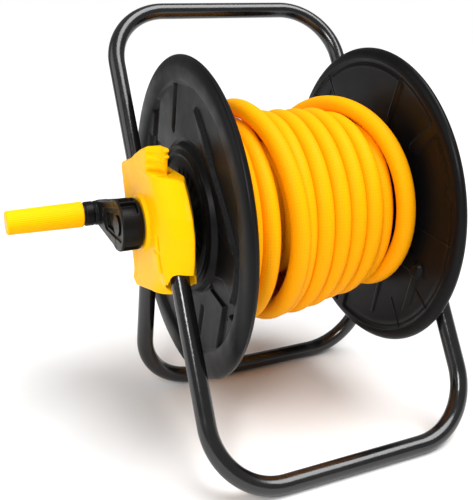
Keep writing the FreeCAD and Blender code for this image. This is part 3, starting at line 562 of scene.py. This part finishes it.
# ---------------------------------------------------------------- the crank
CRANK_TIP, CRANK_ROOT = cad_corners("crank_arm")
HUB_BACK, NECK_END, CRANK_FACE = -CRANK_ROOT[0], -CRANK_TIP[0], -cad_corners("crank_cap")[0][0]
ARM_BACK = HUB_BACK + 7
REACH, CRANK_DROP = [round((JOINTS["grip_spin"]["pos_m"][way] - AXLE[way]) / MM, 3) for way in (1, 2)]
ARM_OUTLINE = ((5.8, 22.2), (73, 4.6), (70.7, -19), (1.3, -23))
HUB_RADIUS, END_RADIUS, NECK_RADIUS = CRANK_ROOT[2], 12.0, 11.6
SQUARE_HALF, SQUARE_END, PIN_HOLE, PIN_START = 6.6, 155.4, 4.05, 152.0
CAP_HOLE, CAP_DEPTH = 9.2, 5.2
# Windows in the hub's side: middle and half width by angle from the top towards the front, and depth.
WINDOWS = ((-2.5, 15.5, 4.5), (34.5, 16.5, 4.5), (140.0, 10.0, 2.5))
WINDOW_MIDDLE, WINDOW_HALF = 153.4, 6.8
POCKET_OUTLINE = ((-3, 15), (44, 3), (47, -3), (36, -12), (-14, -10), (-17, 8))
POCKET_STEP = ((17, 7), (43, 0.5), (35, -10.5), (10, -10), (8.5, 1))


def crank_field(s, y, z):
    """The crank: a hub with windows in its side, a tapering arm with a pocket, and the grip's neck."""
    radius = np.sqrt(y ** 2 + z ** 2)
    end = np.sqrt((y - REACH) ** 2 + (z - CRANK_DROP) ** 2)
    hub = highest(radius - HUB_RADIUS, HUB_BACK - s, 3.2)
    hub = highest(hub, s - CRANK_FACE, 1.6)
    plan = lowest(outline_distance(y, z, ARM_OUTLINE), end - END_RADIUS, 1)
    arm = highest(highest(plan, s - CRANK_FACE, 2.4), ARM_BACK - s, 1.6)
    whole = lowest(hub, arm, 1.5)
    neck = highest(end - NECK_RADIUS, s - NECK_END, 1.0)
    whole = lowest(whole, highest(neck, ARM_BACK + 1 - s, 1.0), 0.8)
    whole = minus(whole, highest(np.abs(s - 165.4) - 0.7, 10.9 - end, 0.4), 0.4)
    pocket = outline_distance(y, z, POCKET_OUTLINE)
    whole = minus(whole, highest(pocket - 1.5, CRANK_FACE - 1.6 - s, 0.6), 0.8)
    deeper = outline_distance(y, z, POCKET_STEP)
    whole = minus(whole, highest(deeper, CRANK_FACE - 4.2 - s, 0.6), 0.8)
    angle = np.degrees(np.arctan2(-y, z))
    for middle, half, depth in WINDOWS:
        across = (np.abs((angle - middle + 180) % 360 - 180) - half) * math.radians(1) * HUB_RADIUS
        window = highest(across, np.abs(s - WINDOW_MIDDLE) - WINDOW_HALF, 1.6)
        whole = minus(whole, highest(window, HUB_RADIUS - depth - radius, 0.8), 0.8)
    hollow = highest(radius - CAP_HOLE, CRANK_FACE - CAP_DEPTH - s, 0.4)
    whole = minus(whole, hollow, 0.5)
    square = np.maximum(np.abs(y), np.abs(z)) - SQUARE_HALF
    whole = minus(whole, highest(square, s - SQUARE_END, 0.3), 0.3)
    return minus(whole, highest(end - PIN_HOLE, PIN_START - s, 0.3), 0.3)


CRANK_LOW = (141.0, -26.0, -27.0)
CRANK_HIGH = (177.0, 86.0, 27.0)
CRANK_STEP = 0.55
crank_shape = crank_field(*block(CRANK_LOW, CRANK_HIGH, CRANK_STEP))
crank = dress(add("crank", skin("crank", crank_shape, CRANK_LOW, CRANK_STEP, -1)), "black_plastic", "drum")
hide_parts("crank_arm")


# ---------------------------------------------------------------- turned pieces
def turned(name, profile, sides, ripple=None, middle=(0.0, 0.0), way=1):
    """A ring of faces round a line along X, from stations and radii. ripple adds ribs by angle."""
    angles = np.arange(sides) * TURN / sides
    rows = []
    for number, (station, radius) in enumerate(profile):
        reach = radius + (ripple(number, angles) if ripple else 0 * angles)
        y = middle[0] + reach * np.sin(angles)
        z = middle[1] + reach * np.cos(angles)
        rows.append(np.stack([np.full(sides, float(station)), y, z], -1))
    points = np.concatenate(rows) * MM + np.array(AXLE)
    index = np.arange(len(profile) * sides).reshape(len(profile), sides)
    a, b = index[:-1], np.roll(index[:-1], -1, axis=1)
    c, d = np.roll(index[1:], -1, axis=1), index[1:]
    quads = np.stack([a, b, c, d] if way > 0 else [d, c, b, a], axis=-1).reshape(-1, 4)
    mesh = bpy.data.meshes.new(name)
    mesh.from_pydata(points.tolist(), [], quads.tolist())
    mesh.polygons.foreach_set("use_smooth", [True] * len(mesh.polygons))
    mesh.update()
    return mesh


GRIP_TIP, GRIP_ROOT = [-corner[0] for corner in cad_corners("crank_grip")]
GRIP_RIBS = 40


def grip_profile():
    """The grip's outside from its root to its tip, then in over the end to the cap."""
    profile = [(-GRIP_ROOT, 4.1), (-GRIP_ROOT, 11.2), (-GRIP_ROOT - 0.8, 12.0)]
    for share in np.linspace(0.03, 0.97, 15):
        profile.append((-GRIP_ROOT - share * (GRIP_TIP - GRIP_ROOT), 12.2 - 1.1 * share))
    return profile + [(-GRIP_TIP + 0.9, 11.0), (-GRIP_TIP, 10.2), (-GRIP_TIP, 7.6), (-GRIP_TIP + 3, 7.5)]


def grip_ripple(number, angles):
    return -0.28 * np.abs(np.sin(angles * GRIP_RIBS / 2)) if 2 < number < 18 else 0 * angles


grip_mesh = turned("grip", grip_profile(), GRIP_RIBS * 6, grip_ripple, (REACH, CRANK_DROP), -1)
grip = dress(add("grip", grip_mesh), "yellow_plastic", "grip")
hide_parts("crank_grip")


# A shell screw from its socket round its head to its point: stations and radii.
SCREW_PROFILE = (
    (111.4, 0.1), (111.4, 1.5), (109.9, 1.75), (109.9, 2.7), (110.3, 3.3), (111.2, 3.5),
    (111.6, 3.4), (111.7, 1.6), (124.0, 1.5), (125.5, 0.1),
)


def hex_socket(number, angles):
    """Turns the rows of a screw's socket into a hexagon."""
    flat = 1 / np.cos((angles + math.pi / 6) % (math.pi / 3) - math.pi / 6) - 0.93
    return 1.3 * flat if number in (1, 2) else 0 * angles


for word, mirror in (("left", -1), ("right", 1)):
    parts = []
    for number, (y_spot, z_spot, deeper) in enumerate(SCREW_SPOTS):
        profile = [(mirror * (station + deeper), reach) for station, reach in SCREW_PROFILE]
        parts.append(turned(word + "_screw", profile, 48, hex_socket, (y_spot, z_spot), mirror))
    joined = bpy.data.meshes.new(word + "_shell_screws")
    spots, sides_of, first = [], [], 0
    for part in parts:
        spots += [tuple(vertex.co) for vertex in part.vertices]
        sides_of += [[first + corner for corner in face.vertices] for face in part.polygons]
        first = len(spots)
    joined.from_pydata(spots, [], sides_of)
    shell_screws = dress(add(word + "_shell_screws", joined), "screw_steel", "stand")
    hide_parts(word + "_bracket_screws")


# ---------------------------------------------------------------- the flanges
FLANGE_OUTSIDE = cad_corners("right_flange")[1]
RIM_WIDTH = 11.0
FLANGE_FACE, RIM = FLANGE_OUTSIDE[0] - RIM_WIDTH, FLANGE_OUTSIDE[2]
BEAD = 120.0
ROLL_START = 134.0
DISC = 62.0


def eased(amount):
    amount = np.clip(amount, 0, 1)
    return amount * amount * (3 - 2 * amount)


def bump_on(distance, width):
    """One inside a shape and none outside it, eased over a width at its edge."""
    return eased(0.5 - distance / width)


def run_distance(u, v, start, end, half):
    """Distance from a straight bar with round ends."""
    du, dv = u - start[0], v - start[1]
    run = (end[0] - start[0], end[1] - start[1])
    share = np.clip((du * run[0] + dv * run[1]) / (run[0] ** 2 + run[1] ** 2), 0, 1)
    return np.hypot(du - share * run[0], dv - share * run[1]) - half


def flange_rings():
    """Distances from the axle at which a flange is sampled."""
    fine = [14.2, 14.8, 20, 26, 31.8, 32.4, 40, 44, 46]
    fine += list(np.arange(47, 129.5, 1.25))
    bead = [137 - 8 * math.cos(a) for a in np.linspace(0.05, math.pi, 22)]
    return np.array(sorted(set(fine + [round(b, 3) for b in bead])))


def polar(points):
    """Points given by distance and angle, as points from the axle."""
    return [(r * math.sin(math.radians(a)), r * math.cos(math.radians(a))) for r, a in points]


# Edges on a flange's outside, by distance from the axle and angle from the top.
BLADE_TOP = (
    (106, -15), (94, -30), (85, -48), (95, -74), (107, -86), (113, -91), (115, -97), (115, -105), (113, -117),
)
BLADE_FOOT = ((95, -15), (81, -24), (64, -46), (65, -70), (75, -86), (95, -91), (111, -92))
V_POCKET = ((62, -130), (73, -134), (118, -120), (114, -113), (86, -113))
SLOTS = (((126, 9), (83, 24), 3.0), ((130, 33), (102, 62), 5.5))
HOLES, HOLE_CIRCLE, HOLE_RADIUS = 24, 40, 2.2
# Thin ribs on the inside: angle, and where each starts and ends.
THIN_RIBS = (
    (-22.4, 91, 142), (34, 99, 139), (-96, 91, 141), (-128, 104, 139), (-150, 104, 141), (90, 91, 141),
    (150, 100, 140),
)
# Round-ended raised bars on the inside: angle, where each starts and ends, and half width.
BARS = ((-51, 96, 130, 6.0), (-76, 131, 133, 5.0), (60, 96, 130, 6.0), (165, 96, 130, 6.0))
PANEL_ANGLE, PANEL_HALF, PANEL_INNER, PANEL_OUTER = 4, 29, 60, 129


def nearest(y, z, points):
    """Distance from a line through these points."""
    return np.minimum.reduce([run_distance(y, z, a, b, 0) for a, b in zip(points, points[1:])])


def outer_face(radius, angle):
    """Height of the outside of a flange over its inner face."""
    dish = 4.6 + 1.2 * eased((radius - 70) / 50)
    hub = bump_on(radius - 66, 1.6) * 5.0
    groove = -1.6 * bump_on(np.abs(radius - 68.6) - 1.3, 1.4)
    ring = 1.0 * bump_on(np.abs(radius - 58) - 1.2, 1.6)
    ring = ring - 1.6 * bump_on(np.abs(radius - 61.5) - 1.6, 1.4)
    pit = -2.2 * bump_on(np.abs(radius - 50) - 5.5, 2.5)
    height = dish + hub + groove + ring + pit
    on_web = eased((radius - 68) / 2) * eased((124 - radius) / 4)
    for half_turn in (0, 180):
        way = np.radians(angle + half_turn)
        y, z = radius * np.sin(way), radius * np.cos(way)
        top, foot = polar(BLADE_TOP), polar(BLADE_FOOT)
        blade = outline_distance(y, z, top + foot[::-1])
        to_top, to_foot = nearest(y, z, top), nearest(y, z, foot)
        tilt = to_foot / (to_top + to_foot + 0.1)
        height = height + on_web * bump_on(blade, 1.4) * (0.4 + 3.3 * tilt)
        pocket = outline_distance(y, z, polar(V_POCKET))
        height = height - on_web * 3.4 * bump_on(pocket, 2.0)
        for start, end, half in SLOTS:
            first, last = polar((start, end))
            slot = bump_on(run_distance(y, z, first, last, half), 2.0)
            height = height - 3.8 * slot * eased((124 - radius) / 4)
    y, z = radius * np.sin(np.radians(angle)), radius * np.cos(np.radians(angle))
    for spot in polar([(HOLE_CIRCLE, (number + 0.5) * 360 / HOLES) for number in range(HOLES)]):
        height = height - 2.5 * bump_on(np.hypot(y - spot[0], z - spot[1]) - HOLE_RADIUS, 1.2)
    return height


def inner_face(radius, angle):
    """Height of a flange's inner side over the plane that its rim touches."""
    floor = 2.5 - 1.4 * eased((radius - 126) / 8)
    floor = floor + 0.9 * bump_on(np.abs(radius - 132) - 1.2, 1.6)
    on_web = eased((radius - 60) / 4) * eased((138 - radius) / 3)
    y, z = radius * np.sin(np.radians(angle)), radius * np.cos(np.radians(angle))
    turned_angle = (angle + 180) % 360 - 180
    # the raised round-topped panel between two ribs
    per_degree = radius * math.radians(1)
    beside = np.abs(turned_angle - PANEL_ANGLE) * per_degree - PANEL_HALF * per_degree
    panel = highest(highest(beside, radius - PANEL_OUTER, 6), PANEL_INNER - radius, 6)
    relief = -1.3 * bump_on(panel, 2.0)
    for rib_angle, first, last in THIN_RIBS:
        gap = np.abs((turned_angle - rib_angle + 180) % 360 - 180) * per_degree
        rib = highest(gap - 0.5, np.abs(radius - (first + last) / 2) - (last - first) / 2, 0.5)
        relief = relief - 1.0 * bump_on(rib, 1.3)
    for way, first, last, half in BARS:
        start, end = polar(((first, way), (last, way)))
        relief = relief - 2.2 * bump_on(run_distance(y, z, start, end, half), 3.0)
    return floor + relief * on_web


def flange_mesh(name, side):
    """A flange as two reliefs, one on each side, that meet round its rim and its bore."""
    sides = 720
    radii = flange_rings()
    angles = np.arange(sides) * 360 / sides
    grid_r, grid_a = np.meshgrid(radii, angles, indexing="ij")
    across = np.clip((grid_r - BEAD) / (RIM - BEAD), 0, 1)
    bead = np.sqrt(np.maximum(1 - np.abs(2 * across - 1) ** 2.4, 0))
    is_bead = grid_r > BEAD
    outer = np.where(is_bead, 5.8 + 5.1 * bead, outer_face(grid_r, grid_a))
    rolled = np.maximum((grid_r - ROLL_START) / (RIM - ROLL_START), 0)
    inner_rim = 0.1 + 5.7 * (1 - np.sqrt(np.maximum(1 - rolled ** 2.6, 0)))
    inner = np.where(grid_r > ROLL_START, inner_rim, np.maximum(inner_face(grid_r, grid_a), 0.1))
    inner = np.where(grid_r < DISC, 8.0, inner)
    outer = np.where(grid_r < DISC, np.maximum(outer, 8.7), outer)
    y, z = grid_r * np.sin(np.radians(grid_a)), grid_r * np.cos(np.radians(grid_a))
    points = []
    for height in (outer, inner):
        points.append(np.stack([side * (FLANGE_FACE + height), y, z], -1).reshape(-1, 3))
    rows = len(radii)
    index = np.arange(rows * sides).reshape(rows, sides)
    a, b = index[:-1], np.roll(index[:-1], -1, axis=1)
    c, d = np.roll(index[1:], -1, axis=1), index[1:]
    up = np.stack([a, b, c, d], axis=-1).reshape(-1, 4)
    down = up[:, ::-1] + rows * sides
    faces = [up, down]
    for row in (0, rows - 1):
        ring = index[row]
        after = np.roll(ring, -1)
        wall = np.stack([ring, after, after + rows * sides, ring + rows * sides], -1)
        faces.append(wall if row else wall[:, ::-1])
    quads = np.concatenate(faces)
    quads = quads if side < 0 else quads[:, ::-1]
    mesh = bpy.data.meshes.new(name)
    mesh.from_pydata((np.concatenate(points) * MM + np.array(AXLE)).tolist(), [], quads.tolist())
    mesh.polygons.foreach_set("use_smooth", [True] * len(mesh.polygons))
    mesh.update()
    return mesh


for word, side in (("left", -1), ("right", 1)):
    flange_piece = add(word + "_flange_moulding", flange_mesh(word + "_flange", side))
    flange = dress(flange_piece, "black_plastic", "drum")
    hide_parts(word + "_flange")


# ---------------------------------------------------------------- floor and light
floor_mesh = bpy.data.meshes.new("floor")
floor_mesh.from_pydata([(-4, -4, 0), (4, -4, 0), (4, 4, 0), (-4, 4, 0)], [], [(0, 1, 2, 3)])
floor = add("floor", floor_mesh)
floor_finish = Finish("floor_paper", (0.8, 0.8, 0.8), 0.9, Specular_IOR_Level=0.0)
floor_finish.vary_colour(floor_finish.noise(3, 2), 0.99, 1.01)
floor_mesh.materials.append(floor_finish.material)

world = bpy.data.worlds.new("studio")
bpy.context.scene.world = world
world.use_nodes = True
tree = world.node_tree
lit = tree.nodes["Background"]
lit.inputs["Color"].default_value = (1, 1, 1, 1)
lit.inputs["Strength"].default_value = 0.32
seen = tree.nodes.new("ShaderNodeBackground")
seen.inputs["Color"].default_value = (1, 1, 1, 1)
seen.inputs["Strength"].default_value = 1.0
mix = tree.nodes.new("ShaderNodeMixShader")
tree.links.new(tree.nodes.new("ShaderNodeLightPath").outputs["Is Camera Ray"], mix.inputs[0])
tree.links.new(lit.outputs["Background"], mix.inputs[1])
tree.links.new(seen.outputs["Background"], mix.inputs[2])
tree.links.new(mix.outputs["Shader"], tree.nodes["World Output"].inputs["Surface"])
bpy.context.scene.view_settings.view_transform = "Standard"

sun_data = bpy.data.lights.new("overhead_sun", "SUN")
sun_data.energy = 3.8
sun_data.angle = 0.8
sun = add("overhead_sun", sun_data)
sun.rotation_euler = (math.radians(15), math.radians(18), 0)


def softbox(name, place, aim, width, height, watts):
    data = bpy.data.lights.new(name, "AREA")
    data.shape = "RECTANGLE"
    data.size = width
    data.size_y = height
    data.energy = watts
    lamp = add(name, data)
    lamp.location = place
    lamp.rotation_euler = (Vector(aim) - Vector(place)).to_track_quat("-Z", "Y").to_euler()


MIDDLE = (0.0, 0.0, 0.2)
softbox("key", (-0.75, -1.05, 0.95), MIDDLE, 0.3, 0.5, 11)
softbox("left_fill", (-1.3, 0.2, 0.8), MIDDLE, 1.0, 1.0, 5)
